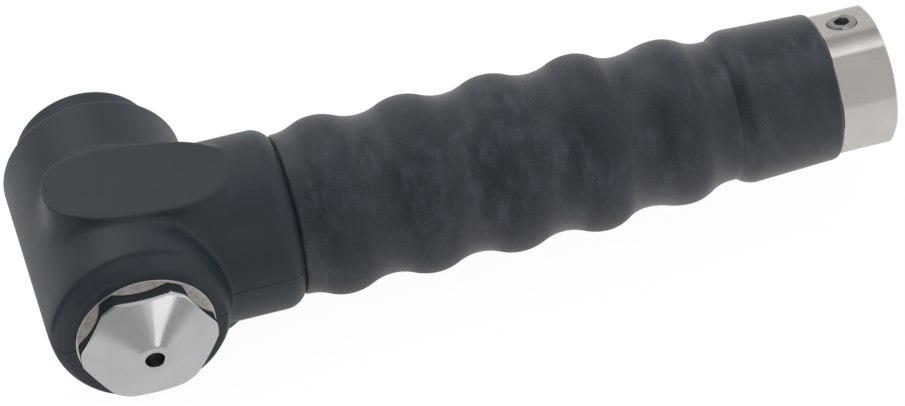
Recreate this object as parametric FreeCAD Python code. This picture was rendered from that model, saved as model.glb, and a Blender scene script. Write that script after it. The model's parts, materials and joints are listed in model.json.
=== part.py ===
import FreeCAD, Part
import math
import os

# Hand spray nozzle: a rubber gripped handle with a nozzle head square to it.
# Water comes in at the hose end and a thumb button at the back of the head opens the valve.
# Millimetres. Origin: centre of the hose inlet's mouth. +X: out of that mouth, along the handle.
# -Y: the way the water leaves. +Z: up, square to the plane of handle and nozzle.

Vector = FreeCAD.Vector

# Overall layout
reach = 160.0               # hose mouth to the axis of the head
press_travel = 4.0          # how far the button goes in
curved_gap = 0.3            # between curved faces of the button and the casing
stroke_gap = 0.5            # left in front of the button's skirt and the stem's shoulder at full travel
running_gap = 0.05          # radial gap of a shaft or screw in its guide
groove_share = 0.6          # half a seal groove's width, in sections of its seal

# Casing
head_radius = 18.6
head_back = 26.4            # rim round the button
head_front = 23.4           # lip round the nozzle, towards -Y
head_front_round = 4.8      # length of the rounded front
front_lip_width = 1.0       # flat ring round the nozzle's flange
rim_round = 0.8
neck_radius = 18.4
neck_length = 33.8          # from the head's axis
neck_round = 3.6
wall = 2.4
pad_height = 20.3           # flat pads above and below, from the middle plane to their back end
pad_fall = 3.05             # degrees, towards the neck
pad_centre = 4.6            # from the head's axis towards the neck
pad_half_length = 17.7
pad_half_width = 10.8
pad_squareness = 2.4        # of the outline: 2 is an ellipse, more is squarer
pad_turn = -5.5             # degrees, its long way from the handle's axis
pad_points = 24             # points on the pad's outline
core_wall = 2.2             # tail of the casing inside the grip
rib_width = 2.0
core_rib_count = 3

# Grip
ring_pitch = 18.0
first_ring = 43.6           # from the head's axis
ring_radius = 18.4
dip_radius = 16.45
last_ring_radius = 17.15
last_ring_dip_radius = 15.75
collar_dip_radius = 14.65
collar_dip_width = 9.3      # last crest to the dip in front of the collar
collar_groove = 1.6         # level bottom of that dip
collar_rise = 5.0           # length of the rounded shoulder
collar_radius = 16.0
collar_end_radius = 15.25
collar_round = 2.2
grip_gap = 0.4              # open line between neck and grip
rubber_wall = 2.15          # thinnest rubber, under the collar's dip

# Hose inlet
hex_length = 12.0
hex_across_flats = 27.0
hex_corner_height = 0.9     # of the turned-off corners over the flats
hex_chamfer = 1.4
hex_tilt = 13.0             # degrees from straight up towards +Y, the flat with the screw
inlet_bore_radius = 8.0
inlet_bore_depth = 20.0
inlet_body_length = 18.0    # round part inside the grip
washer_radius = 7.6
washer_thickness = 1.6
washer_hole_radius = 5.2
strainer_thickness = 0.6
strainer_hole_radius = 0.5
strainer_hole_pitch = 1.9
grub_radius = 3.0
grub_proud = 0.3
grub_set_back = 0.7         # of its point from the hose bore
grub_bevel = 0.5
grub_key = 3.0              # across the flats of its socket
grub_key_depth = 2.4
grub_from_mouth = 6.4
grub_sink_radius = 3.35

# Water tube
tube_radius = 7.0
tube_bore_radius = 5.5
tube_in_valve = 12.0        # length screwed into the valve body
tube_in_inlet = 7.4
tube_seal_section = 1.5
tube_nut_wall = 2.0
tube_nut_length = 4.0

# Valve body
valve_thread_radius = 8.0   # nozzle and guide both screw into this bore
valve_wall = 3.5            # round that bore
valve_back = 14.0
valve_boss_wall = 1.5       # round the groove of the tube's seal
valve_boss_end = 24.0       # from the head's axis
seat_place = 9.0            # the seat faces -Y
seat_bore_radius = 4.4
seat_thickness = 3.0
chamber_radius = 7.0
chamber_back = 4.0
lip_thickness = 2.0
saddle_places = (-13.6, 12.2)

# Nozzle
flange_radius = 14.1
flange_front = 23.4
flange_thickness = 2.4
nozzle_hex = 25.4
nozzle_corner_inset = 0.35  # of the hexagon's turned corners from the flange's edge
nozzle_corner_front = 26.7
nozzle_tip = 31.0
nozzle_tip_radius = 3.0
orifice_radius = 2.05
orifice_length = 2.4
nozzle_thread_length = 7.0
nozzle_seal_section = 1.4
nozzle_seal_land = 0.66     # metal on each side of the seal's groove

# Stem, its guide and the seat disc
stem_radius = 4.0
stem_waist_radius = 2.5
stem_thread_radius = 2.0
stem_shoulder = 4.6         # where the stem is full size again
stem_thread_end = 0.4       # of the stem, in front of the disc nut
stem_tail_radius = 3.0
stem_tail_gap = 0.8         # left under the button's top
guide_hex = 19.0
guide_hex_length = 3.0
guide_neck_length = 2.5
guide_seal_place = 9.6
guide_seal_section = 1.9
relief_length = 1.6
relief_depth = 1.3
disc_radius = 5.6
disc_gap = 1.1              # water's way round the open disc
disc_thickness = 1.8
cup_thickness = 1.0
disc_nut_across_flats = 7.0
disc_nut_length = 2.4
stem_nut_across_flats = 10.0
stem_nut_length = 2.5

# Button and spring
button_proud = 8.4          # of the rim round it
button_top = 2.5
button_wall = 2.2
button_round = 1.5
button_lip = 1.3
button_lip_length = 2.1
button_lip_gap = 0.4        # to the casing's wall and to the ring that keeps the button in
spring_wire = 1.3
spring_radius = 8.0
spring_turns = 5.5
spring_gap = 1.0            # between the coil and what stands inside it
spring_washer_thickness = 0.8

# Casing screws, from below: one at the back of the neck, two in the head
neck_screw_inset = 6.2      # from the neck's end
neck_screw_gap = 0.8        # between the tube's nut and the boss
neck_screw_seat = -9.6
head_screw_gap = 0.1        # between valve body and boss
head_screw_offset = 8.0
head_screw_seat = -6.0
screw_boss_wall = 0.45      # round the sunk screw head
screw_radius = 1.25
screw_head_radius = 2.05
screw_head_height = 1.8
screw_length = 14.0
screw_recess = 2.0          # across flats of the drive socket
screw_recess_depth = 1.2

head_x = -reach
head_point = Vector(head_x, 0, 0)
x_axis = Vector(1, 0, 0)
y_axis = Vector(0, 1, 0)
z_axis = Vector(0, 0, 1)
beyond = 1.0                # cutters run this far past the faces they open


# Helpers

def face_of(path, place):
    """Face inside a closed path: two numbers are a straight step, four an arc's middle and end."""
    edges = []
    here = tuple(path[0])
    for step in list(path[1:]) + [path[0]]:
        goal = tuple(step[-2:])
        if len(step) == 4:
            edges.append(Part.Arc(place(*here), place(*step[:2]), place(*goal)).toShape())
        elif goal != here:
            edges.append(Part.LineSegment(place(*here), place(*goal)).toShape())
        here = goal
    return Part.Face(Part.Wire(edges))


def turned_on_head(path):
    """Solid turned about the head's axis from (y, radius) steps."""
    face = face_of(path, lambda along, out: Vector(head_x + out, along, 0))
    return face.revolve(head_point, y_axis, 360)


def turned_on_handle(path):
    """Solid turned about the handle's axis from (x, radius) steps."""
    face = face_of(path, lambda along, out: Vector(along, 0, out))
    return face.revolve(Vector(0, 0, 0), x_axis, 360)


def head_cylinder(radius, y_start, y_end):
    return Part.makeCylinder(radius, y_end - y_start, head_point + y_axis * y_start, y_axis)


def handle_cylinder(radius, x_start, x_end):
    return Part.makeCylinder(radius, x_end - x_start, Vector(x_start, 0, 0), x_axis)


def hexagon(across_flats, length, base, axis, flat_direction):
    """Hexagonal bar with one flat facing flat_direction."""
    side = axis.cross(flat_direction)
    corner_radius = across_flats / 2 / math.cos(math.pi / 6)
    corners = []
    for index in range(6):
        angle = math.pi / 6 + index * math.pi / 3
        offset = flat_direction * math.cos(angle) + side * math.sin(angle)
        corners.append(base + offset * corner_radius)
    return Part.Face(Part.makePolygon(corners + [corners[0]])).extrude(axis * length)


def seal_ring(radius, section, centre, axis):
    return Part.makeTorus(radius, section / 2, centre, axis)


def quarter(middle_of, start, end):
    """Middle of a quarter round between two points, centred on middle_of."""
    radius = math.hypot(start[0] - middle_of[0], start[1] - middle_of[1])
    bend = math.atan2(start[1] - middle_of[1] + end[1] - middle_of[1],
                      start[0] - middle_of[0] + end[0] - middle_of[0])
    return (middle_of[0] + radius * math.cos(bend), middle_of[1] + radius * math.sin(bend))


def level_arc(level, other):
    """Middle of an arc that is level at the first point and ends at the second."""
    run = other[0] - level[0]
    rise = other[1] - level[1]
    radius = (run ** 2 + rise ** 2) / (2 * abs(rise))
    bend = math.atan2(abs(rise), abs(run))
    return (level[0] + math.copysign(radius * math.sin(bend), run),
            level[1] + math.copysign(radius * (1 - math.cos(bend)), rise))


def wave(extremes):
    """Arcs that swing between crests and dips, level at each of them."""
    steps = []
    for start, end in zip(extremes, extremes[1:]):
        halfway = ((start[0] + end[0]) / 2, (start[1] + end[1]) / 2)
        steps.append((*level_arc(start, halfway), *halfway))
        steps.append((*level_arc(end, halfway), *end))
    return steps


# Places and fits worked out from the sizes above

button_radius = head_radius - wall - button_lip_gap - button_lip
button_back = head_back + button_proud
button_inside = button_back - button_top
button_skirt_end = valve_back + press_travel + stroke_gap
rear_lip_start = button_skirt_end + button_lip_length + button_lip_gap
front_lip_radius = flange_radius + running_gap + front_lip_width
flange_back = -(flange_front - flange_thickness)        # nozzle flange against the casing's lip
valve_front = flange_back + lip_thickness
valve_radius = valve_thread_radius + valve_wall
valve_boss_radius = tube_radius + tube_seal_section + valve_boss_wall
nozzle_groove_half = nozzle_seal_section * groove_share
nozzle_seal_radius = valve_thread_radius + nozzle_seal_land + nozzle_groove_half
spigot_radius = nozzle_seal_radius + nozzle_groove_half + nozzle_seal_land  # through the casing's lip
nozzle_bore_radius = disc_radius + disc_gap
nozzle_corner_radius = flange_radius - nozzle_corner_inset
guide_end = valve_back + guide_hex_length + guide_neck_length
stem_back = guide_end + press_travel + stroke_gap       # shoulder that carries the button
stem_tail_end = button_inside - stem_tail_gap
spring_seat = valve_back + guide_hex_length + spring_washer_thickness
spring_inside = spring_radius - spring_wire / 2 - spring_gap
core_radius = collar_dip_radius - rubber_wall
neck_end = head_x + neck_length
fitting_start = -(hex_length + inlet_body_length)
core_rib_pitch = (fitting_start - neck_end) / (core_rib_count + 1)
hex_corner_radius = hex_across_flats / 2 + hex_corner_height
washer_face = -inlet_bore_depth
strainer_face = washer_face - washer_thickness
socket_face = strainer_face - strainer_thickness
tube_start = head_x + valve_boss_end - tube_in_valve
tube_end = socket_face - running_gap
tube_seal_x = (head_x + valve_boss_end - tube_in_valve / 2, socket_face - tube_in_inlet / 2)
tube_groove_half = tube_seal_section * groove_share
grub_out = Vector(0, math.sin(math.radians(hex_tilt)), math.cos(math.radians(hex_tilt)))
grub_top = hex_across_flats / 2 + grub_proud
grub_length = grub_top - inlet_bore_radius - grub_set_back
collar_length = collar_dip_width + collar_groove + collar_rise + collar_round
ring_count = int((reach - hex_length - first_ring - collar_length) / ring_pitch)
screw_sink_radius = screw_head_radius + curved_gap
screw_boss_radius = screw_sink_radius + screw_boss_wall
tube_nut_across_flats = 2 * (tube_radius + tube_nut_wall)
neck_screw_offset = tube_nut_across_flats / 2 + neck_screw_gap + screw_boss_radius
screw_feet = [Vector(neck_end - neck_screw_inset, neck_screw_offset, neck_screw_seat)]
for side in (1, -1):
    screw_feet.append(Vector(head_x - valve_radius - head_screw_gap - screw_boss_radius,
                             side * head_screw_offset, head_screw_seat))


# Casing

def pad_block():
    """Oval block whose flat ends are the pads above and below, both falling towards the neck."""
    outline = []
    for index in range(pad_points):
        angle = 2 * math.pi * index / pad_points
        along = math.copysign(abs(math.cos(angle)) ** (2 / pad_squareness), math.cos(angle))
        across = math.copysign(abs(math.sin(angle)) ** (2 / pad_squareness), math.sin(angle))
        outline.append(Vector(pad_half_length * along, pad_half_width * across, -pad_height))
    curve = Part.BSplineCurve()
    curve.interpolate(Points=outline, PeriodicFlag=True)
    block = Part.Face(Part.Wire(curve.toShape())).extrude(z_axis * (2 * pad_height))
    block.rotate(Vector(0, 0, 0), z_axis, pad_turn)
    block.translate(head_point + x_axis * pad_centre)
    side = -pad_half_length
    length = 2 * pad_half_length + beyond
    start = head_x + pad_centre - pad_half_length
    end_height = pad_height - length * math.tan(math.radians(pad_fall))
    wedge = [Vector(start, side, -pad_height), Vector(start + length, side, -end_height),
             Vector(start + length, side, end_height), Vector(start, side, pad_height)]
    return block.common(Part.Face(Part.makePolygon(wedge + [wedge[0]])).extrude(y_axis * (-2 * side)))


def head_body():
    """Outside of the head, turned about the nozzle's axis."""
    front_start = -(head_front - head_front_round)
    round_middle = level_arc((front_start, head_radius), (-head_front, front_lip_radius))
    rim_centre = (head_back - rim_round, head_radius - rim_round)
    rim_middle = quarter(rim_centre, (head_back - rim_round, head_radius),
                         (head_back, head_radius - rim_round))
    return turned_on_head([
        (-head_front, 0), (-head_front, front_lip_radius),
        (*round_middle, front_start, head_radius),
        (head_back - rim_round, head_radius),
        (*rim_middle, head_back, head_radius - rim_round),
        (head_back, 0)])


def neck_body():
    """Neck towards the grip, and the tail that runs on inside the grip."""
    edge_centre = (neck_end - neck_round, neck_radius - neck_round)
    edge_middle = quarter(edge_centre, (neck_end - neck_round, neck_radius),
                          (neck_end, neck_radius - neck_round))
    return turned_on_handle([
        (head_x, 0), (head_x, neck_radius), (neck_end - neck_round, neck_radius),
        (*edge_middle, neck_end, neck_radius - neck_round),
        (neck_end, core_radius), (fitting_start, core_radius), (fitting_start, 0)])


def casing_hollow():
    inner_radius = head_radius - wall
    hollow = head_cylinder(inner_radius, valve_front, rear_lip_start)
    hollow = hollow.fuse(head_cylinder(button_radius + curved_gap, rear_lip_start - beyond,
                                       head_back + beyond))
    hollow = hollow.fuse(head_cylinder(spigot_radius + running_gap, flange_back - beyond,
                                       valve_front + beyond))
    hollow = hollow.fuse(head_cylinder(flange_radius + running_gap, -head_front - beyond,
                                       flange_back))
    hollow = hollow.fuse(handle_cylinder(neck_radius - wall, head_x, neck_end - wall))
    return hollow.fuse(handle_cylinder(core_radius - core_wall, neck_end - wall - beyond,
                                       fitting_start + beyond))


def casing_ribs():
    """Rings inside that carry the water tube and the valve body."""
    ribs = []
    for index in range(core_rib_count):
        start = neck_end + (index + 1) * core_rib_pitch - rib_width / 2
        ring = handle_cylinder(core_radius - core_wall / 2, start, start + rib_width)
        ribs.append(ring.cut(handle_cylinder(tube_radius, start - beyond, start + rib_width + beyond)))
    for place in saddle_places:
        start = place - rib_width / 2
        ring = head_cylinder(head_radius - wall / 2, start, start + rib_width)
        ribs.append(ring.cut(head_cylinder(valve_radius, start - beyond, start + rib_width + beyond)))
    return ribs


def casing():
    """Both halves in one: outside, hollow, ribs, screw bosses and screw holes."""
    outside = head_body().fuse([neck_body(), pad_block()])
    shell = outside.cut(casing_hollow())
    bosses = [Part.makeCylinder(screw_boss_radius, 2 * pad_height,
                                Vector(foot.x, foot.y, -pad_height), z_axis).common(outside)
              for foot in screw_feet]
    shell = shell.fuse(casing_ribs() + bosses).removeSplitter()
    cutters = []
    for foot in screw_feet:
        cutters.append(Part.makeCylinder(screw_radius, screw_length + running_gap, foot, z_axis))
        cutters.append(Part.makeCylinder(screw_sink_radius, pad_height, foot, -z_axis))
    return shell.cut(cutters)


def casing_half(shell, side):
    length = 2 * reach
    box = Part.makeBox(length, length, length, Vector(head_x - length / 2, -length / 2,
                                                      0 if side > 0 else -length))
    return shell.common(box)


def casing_screws():
    screws = []
    for foot in screw_feet:
        shank = Part.makeCylinder(screw_radius, screw_length, foot, z_axis)
        head = Part.makeCylinder(screw_head_radius, screw_head_height, foot, -z_axis)
        socket = hexagon(screw_recess, screw_recess_depth + beyond,
                         foot - z_axis * (screw_head_height + beyond), z_axis, x_axis)
        screws.append(shank.fuse(head).removeSplitter().cut(socket))
    return screws


# Grip

def grip():
    """Rubber sleeve with finger rings and a plain collar at the hose end."""
    start = neck_end + grip_gap
    crest = head_x + first_ring
    extremes = [(start, dip_radius)]
    for index in range(ring_count):
        extremes.append((crest + index * ring_pitch, ring_radius))
        if index < ring_count - 1:
            extremes.append((crest + (index + 0.5) * ring_pitch, dip_radius))
    last_crest = crest + ring_count * ring_pitch
    extremes.append((last_crest - ring_pitch / 2, last_ring_dip_radius))
    extremes.append((last_crest, last_ring_radius))
    dip = last_crest + collar_dip_width
    extremes.append((dip, collar_dip_radius))
    shoulder = (dip + collar_groove + collar_rise, collar_radius)
    shoulder_middle = level_arc(shoulder, (dip + collar_groove, collar_dip_radius))
    end = -hex_length
    edge_centre = (end - collar_round, collar_end_radius - collar_round)
    edge_middle = quarter(edge_centre, (end - collar_round, collar_end_radius),
                          (end, collar_end_radius - collar_round))
    return turned_on_handle(
        [(start, core_radius), (start, dip_radius)] + wave(extremes)
        + [(dip + collar_groove, collar_dip_radius), (*shoulder_middle, *shoulder),
           (end - collar_round, collar_end_radius),
           (*edge_middle, end, collar_end_radius - collar_round), (end, core_radius)])


# Hose inlet and water tube

def inlet_fitting():
    """Hexagon at the hose end, with a round body in the grip and sockets for hose and tube."""
    envelope = turned_on_handle([
        (-hex_length, 0), (-hex_length, hex_corner_radius), (-hex_chamfer / 2, hex_corner_radius),
        (0, hex_corner_radius - hex_chamfer), (0, 0)])
    bar = hexagon(hex_across_flats, hex_length, Vector(-hex_length, 0, 0), x_axis, grub_out)
    body = bar.common(envelope)
    body = body.fuse(handle_cylinder(core_radius - running_gap, fitting_start, -hex_length))
    grub_hole = Part.makeCylinder(grub_radius, hex_across_flats, Vector(-grub_from_mouth, 0, 0), grub_out)
    sink_depth = grub_sink_radius - grub_radius
    grub_sink = Part.makeCone(grub_radius, grub_sink_radius, sink_depth,
                              Vector(-grub_from_mouth, 0, 0)
                              + grub_out * (hex_across_flats / 2 - sink_depth), grub_out)
    cutters = [
        handle_cylinder(inlet_bore_radius, washer_face, beyond),
        handle_cylinder(washer_radius, socket_face, washer_face + beyond),
        handle_cylinder(tube_radius, fitting_start - beyond, socket_face),
        handle_cylinder(tube_radius + tube_seal_section, tube_seal_x[1] - tube_groove_half,
                        tube_seal_x[1] + tube_groove_half),
        grub_hole, grub_sink]
    return body.removeSplitter().cut(cutters)


def grub_screw():
    """Clamps the hose tail; hexagon socket outside, cup point inside."""
    radius = grub_radius - running_gap
    tip_radius = radius - grub_bevel
    base = Vector(-grub_from_mouth, 0, 0)
    foot = base + grub_out * (grub_top - grub_length)
    body = Part.makeCylinder(radius, grub_length - 2 * grub_bevel, foot + grub_out * grub_bevel, grub_out)
    point = Part.makeCone(tip_radius, radius, grub_bevel, foot, grub_out)
    crown = Part.makeCone(radius, tip_radius, grub_bevel, foot + grub_out * (grub_length - grub_bevel),
                          grub_out)
    socket = hexagon(grub_key, grub_key_depth + beyond, base + grub_out * (grub_top - grub_key_depth),
                     grub_out, x_axis)
    return body.fuse([point, crown]).removeSplitter().cut(socket)


def inlet_washer():
    ring = handle_cylinder(washer_radius, strainer_face, washer_face)
    return ring.cut(handle_cylinder(washer_hole_radius, strainer_face - beyond, washer_face + beyond))


def inlet_strainer():
    """Thin disc with a field of small holes on a triangular grid."""
    disc = handle_cylinder(washer_radius, socket_face, strainer_face)
    reach_of_holes = washer_hole_radius - strainer_hole_radius
    rows = int(reach_of_holes / strainer_hole_pitch) + 1
    holes = []
    for row in range(-rows, rows + 1):
        for column in range(-2 * rows, 2 * rows + 1):
            y = (column + row % 2 / 2) * strainer_hole_pitch
            z = row * strainer_hole_pitch * math.sin(math.pi / 3)
            if math.hypot(y, z) <= reach_of_holes:
                holes.append(Part.makeCylinder(strainer_hole_radius, strainer_thickness + 2 * beyond,
                                               Vector(socket_face - beyond, y, z), x_axis))
    return disc.cut(holes)


def handle_tube():
    tube = handle_cylinder(tube_radius, tube_start, tube_end)
    return tube.cut(handle_cylinder(tube_bore_radius, tube_start - beyond, tube_end + beyond))


def tube_seal(place):
    return seal_ring(tube_radius + tube_seal_section / 2, tube_seal_section, Vector(place, 0, 0), x_axis)


def tube_lock_nut():
    start = head_x + valve_boss_end
    nut = hexagon(tube_nut_across_flats, tube_nut_length, Vector(start, 0, 0), x_axis, y_axis)
    return nut.cut(handle_cylinder(tube_radius, start - beyond, start + tube_nut_length + beyond))


# Valve

def valve_body():
    """Brass tee: nozzle in front, stem guide behind, water tube at the side."""
    body = head_cylinder(valve_radius, valve_front, valve_back)
    body = body.fuse([head_cylinder(spigot_radius, flange_back, valve_front),
                      handle_cylinder(valve_boss_radius, head_x, head_x + valve_boss_end)])
    groove_bottom = flange_back + nozzle_seal_section
    groove = head_cylinder(nozzle_seal_radius + nozzle_groove_half, flange_back - beyond, groove_bottom)
    groove = groove.cut(head_cylinder(nozzle_seal_radius - nozzle_groove_half, flange_back - beyond,
                                      groove_bottom))
    cutters = [
        head_cylinder(valve_thread_radius, flange_back - beyond, -seat_place),
        head_cylinder(seat_bore_radius, -seat_place - beyond, -seat_place + seat_thickness + beyond),
        head_cylinder(chamber_radius, -seat_place + seat_thickness, chamber_back),
        head_cylinder(valve_thread_radius, chamber_back, valve_back + beyond),
        handle_cylinder(tube_bore_radius, head_x, tube_start),
        handle_cylinder(tube_radius, tube_start, head_x + valve_boss_end + beyond),
        handle_cylinder(tube_radius + tube_seal_section, tube_seal_x[0] - tube_groove_half,
                        tube_seal_x[0] + tube_groove_half),
        groove]
    return body.removeSplitter().cut(cutters)


def nozzle():
    """Hexagon with a coned face on a round flange; it screws into the valve body."""
    cone_rate = (nozzle_tip - nozzle_corner_front) / (nozzle_corner_radius - nozzle_tip_radius)
    envelope = turned_on_head([
        (-flange_front, 0), (-flange_front, nozzle_corner_radius),
        (-nozzle_corner_front, nozzle_corner_radius), (-nozzle_tip, nozzle_tip_radius), (-nozzle_tip, 0)])
    bar = hexagon(nozzle_hex, nozzle_tip - flange_front, Vector(head_x, -nozzle_tip, 0), y_axis, z_axis)
    flange = head_cylinder(flange_radius, -flange_front, flange_back)
    thread = head_cylinder(valve_thread_radius, flange_back, flange_back + nozzle_thread_length)
    throat = -(nozzle_tip - orifice_length)
    taper_start = throat + (nozzle_bore_radius - orifice_radius) * (1 - cone_rate)
    bore = turned_on_head([
        (flange_back + nozzle_thread_length + beyond, 0),
        (flange_back + nozzle_thread_length + beyond, nozzle_bore_radius),
        (taper_start, nozzle_bore_radius), (throat, orifice_radius),
        (-nozzle_tip - beyond, orifice_radius), (-nozzle_tip - beyond, 0)])
    return bar.common(envelope).fuse([flange, thread]).removeSplitter().cut(bore)


def nozzle_seal():
    centre = head_point + y_axis * (flange_back + nozzle_seal_section / 2)
    return seal_ring(nozzle_seal_radius, nozzle_seal_section, centre, y_axis)


def stem_guide():
    """Screws into the back of the valve body, guides the stem and seals it."""
    thread = head_cylinder(valve_thread_radius, chamber_back, valve_back)
    relief = head_cylinder(valve_thread_radius, valve_back - relief_length, valve_back)
    relief = relief.cut(head_cylinder(valve_thread_radius - relief_depth, valve_back - relief_length,
                                      valve_back))
    collar = hexagon(guide_hex, guide_hex_length, head_point + y_axis * valve_back, y_axis, z_axis)
    neck = head_cylinder(spring_inside, valve_back + guide_hex_length, guide_end)
    seal_half = guide_seal_section * groove_share
    cutters = [
        head_cylinder(stem_radius + running_gap, chamber_back - beyond, guide_end + beyond),
        head_cylinder(stem_radius + running_gap + guide_seal_section, guide_seal_place - seal_half,
                      guide_seal_place + seal_half)]
    return thread.cut(relief).fuse([collar, neck]).removeSplitter().cut(cutters)


def stem_seal():
    radius = stem_radius + running_gap + guide_seal_section / 2
    return seal_ring(radius, guide_seal_section, head_point + y_axis * guide_seal_place, y_axis)


def guide_seal():
    section = relief_depth
    centre = head_point + y_axis * (valve_back - relief_length / 2)
    return seal_ring(valve_thread_radius - section / 2, section, centre, y_axis)


def valve_stem():
    """Thin through the seat, full size in its guide, threaded at both ends."""
    front = -(seat_place + disc_thickness + cup_thickness + disc_nut_length + stem_thread_end)
    shoulder_run = stem_radius - stem_waist_radius
    return turned_on_head([
        (front, 0), (front, stem_thread_radius), (-seat_place, stem_thread_radius),
        (-seat_place, stem_waist_radius), (stem_shoulder - shoulder_run, stem_waist_radius),
        (stem_shoulder, stem_radius), (stem_back, stem_radius), (stem_back, stem_tail_radius),
        (stem_tail_end, stem_tail_radius), (stem_tail_end, 0)])


def stem_ring(radius, y_start, y_end):
    ring = head_cylinder(radius, y_start, y_end)
    return ring.cut(head_cylinder(stem_thread_radius, y_start - beyond, y_end + beyond))


def seat_disc():
    return stem_ring(disc_radius, -seat_place - disc_thickness, -seat_place)


def disc_cup():
    front = -seat_place - disc_thickness
    return stem_ring(disc_radius, front - cup_thickness, front)


def disc_nut():
    back = -seat_place - disc_thickness - cup_thickness
    nut = hexagon(disc_nut_across_flats, disc_nut_length, head_point + y_axis * (back - disc_nut_length),
                  y_axis, z_axis)
    return nut.cut(head_cylinder(stem_thread_radius, back - disc_nut_length - beyond, back + beyond))


def stem_lock_nut():
    nut = hexagon(stem_nut_across_flats, stem_nut_length, head_point + y_axis * stem_back, y_axis, z_axis)
    return nut.cut(head_cylinder(stem_tail_radius, stem_back - beyond,
                                 stem_back + stem_nut_length + beyond))


# Button and spring

def push_button():
    """Thumb cap: a rounded cup whose lip is kept in by the casing, with a boss for the stem."""
    lip_front = button_skirt_end + button_lip_length
    inner = button_radius - button_wall
    edge_centre = (button_back - button_round, button_radius - button_round)
    edge_middle = quarter(edge_centre, (button_back - button_round, button_radius),
                          (button_back, button_radius - button_round))
    boss_end = stem_back + stem_nut_length
    return turned_on_head([
        (button_back, 0), (button_back, button_radius - button_round),
        (*edge_middle, button_back - button_round, button_radius),
        (lip_front, button_radius), (lip_front, button_radius + button_lip),
        (button_skirt_end, button_radius + button_lip), (button_skirt_end, inner),
        (button_inside, inner), (button_inside, spring_inside),
        (boss_end, spring_inside), (boss_end, stem_tail_radius),
        (stem_tail_end, stem_tail_radius), (stem_tail_end, 0)])


def return_spring():
    """Compression spring between the washer on the guide and the inside of the button."""
    height = button_inside - spring_seat - spring_wire
    helix = Part.makeLongHelix(height / spring_turns, height, spring_radius)
    section = Part.Wire(Part.makeCircle(spring_wire / 2, Vector(spring_radius, 0, 0), y_axis))
    coil = Part.Wire(helix).makePipeShell([section], True, True)
    coil.rotate(Vector(0, 0, 0), x_axis, -90)
    coil.translate(head_point + y_axis * (spring_seat + spring_wire / 2))
    return coil


def spring_washer():
    start = valve_back + guide_hex_length
    ring = head_cylinder(spring_radius + spring_wire, start, spring_seat)
    return ring.cut(head_cylinder(spring_inside, start - beyond, spring_seat + beyond))


def export(name, shapes):
    solids = shapes if isinstance(shapes, list) else [shapes]
    shape = solids[0] if len(solids) == 1 else Part.makeCompound(solids)
    shape.exportStep("parts/" + name + ".step")
    print(name, "solids", len(shape.Solids), "valid", shape.isValid(), "volume", round(shape.Volume, 1))


def main():
    os.makedirs("parts", exist_ok=True)
    shell = casing()
    export("head_shell_upper", casing_half(shell, 1))
    export("head_shell_lower", casing_half(shell, -1))
    export("shell_screws", casing_screws())
    export("grip_sleeve", grip())
    export("inlet_fitting", inlet_fitting())
    export("grub_screw", grub_screw())
    export("inlet_washer", inlet_washer())
    export("inlet_strainer", inlet_strainer())
    export("handle_tube", handle_tube())
    export("tube_seal_valve_end", tube_seal(tube_seal_x[0]))
    export("tube_seal_hose_end", tube_seal(tube_seal_x[1]))
    export("tube_lock_nut", tube_lock_nut())
    export("valve_body", valve_body())
    export("nozzle", nozzle())
    export("nozzle_seal", nozzle_seal())
    export("stem_guide", stem_guide())
    export("stem_seal", stem_seal())
    export("guide_seal", guide_seal())
    export("valve_stem", valve_stem())
    export("seat_disc", seat_disc())
    export("disc_cup", disc_cup())
    export("disc_nut", disc_nut())
    export("stem_lock_nut", stem_lock_nut())
    export("push_button", push_button())
    export("return_spring", return_spring())
    export("spring_washer", spring_washer())


main()
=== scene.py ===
import json
import math
import bmesh
import bpy
import numpy as np
from mathutils import Matrix, Vector


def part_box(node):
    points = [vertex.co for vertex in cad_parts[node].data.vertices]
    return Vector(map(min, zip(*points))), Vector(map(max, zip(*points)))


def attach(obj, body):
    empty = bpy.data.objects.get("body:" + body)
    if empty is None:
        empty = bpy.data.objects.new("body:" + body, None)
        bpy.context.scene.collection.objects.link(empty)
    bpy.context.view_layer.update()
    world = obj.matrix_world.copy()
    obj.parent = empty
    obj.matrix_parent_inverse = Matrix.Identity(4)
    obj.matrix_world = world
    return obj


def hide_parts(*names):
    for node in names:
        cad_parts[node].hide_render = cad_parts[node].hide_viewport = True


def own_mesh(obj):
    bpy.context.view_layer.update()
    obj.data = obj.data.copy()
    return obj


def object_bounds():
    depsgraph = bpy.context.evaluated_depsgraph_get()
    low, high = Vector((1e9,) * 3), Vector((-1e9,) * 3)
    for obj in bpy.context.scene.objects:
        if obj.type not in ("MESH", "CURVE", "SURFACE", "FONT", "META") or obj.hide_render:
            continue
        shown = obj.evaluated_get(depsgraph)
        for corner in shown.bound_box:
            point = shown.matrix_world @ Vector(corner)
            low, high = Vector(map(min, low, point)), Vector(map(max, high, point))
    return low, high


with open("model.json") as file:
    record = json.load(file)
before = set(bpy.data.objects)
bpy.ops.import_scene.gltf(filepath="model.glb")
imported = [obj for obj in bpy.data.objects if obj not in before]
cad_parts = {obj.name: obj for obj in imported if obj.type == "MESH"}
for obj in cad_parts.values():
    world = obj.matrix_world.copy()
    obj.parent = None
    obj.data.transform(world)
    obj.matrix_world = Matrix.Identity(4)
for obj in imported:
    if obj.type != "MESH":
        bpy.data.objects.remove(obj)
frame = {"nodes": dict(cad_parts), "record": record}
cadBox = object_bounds()
print("frame loaded")

mm = 0.001                       # the tables below are in millimetres and degrees
across = Vector((1, 0, 0))       # along the handle, out of the hose end
ahead = Vector((0, 1, 0))        # along the head, towards the button
above = Vector((0, 0, 1))

headLow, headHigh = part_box("head_shell_upper")
nozzleLow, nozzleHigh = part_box("nozzle")
gripLow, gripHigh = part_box("grip_sleeve")
fittingLow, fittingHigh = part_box("inlet_fitting")
headPoint = Vector(((nozzleLow.x + nozzleHigh.x) / 2, 0, 0))
mouthPoint = Vector((fittingHigh.x, 0, 0))
floorHeight = cadBox[0].z


# Sums in a node tree, written as plain arithmetic

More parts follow.
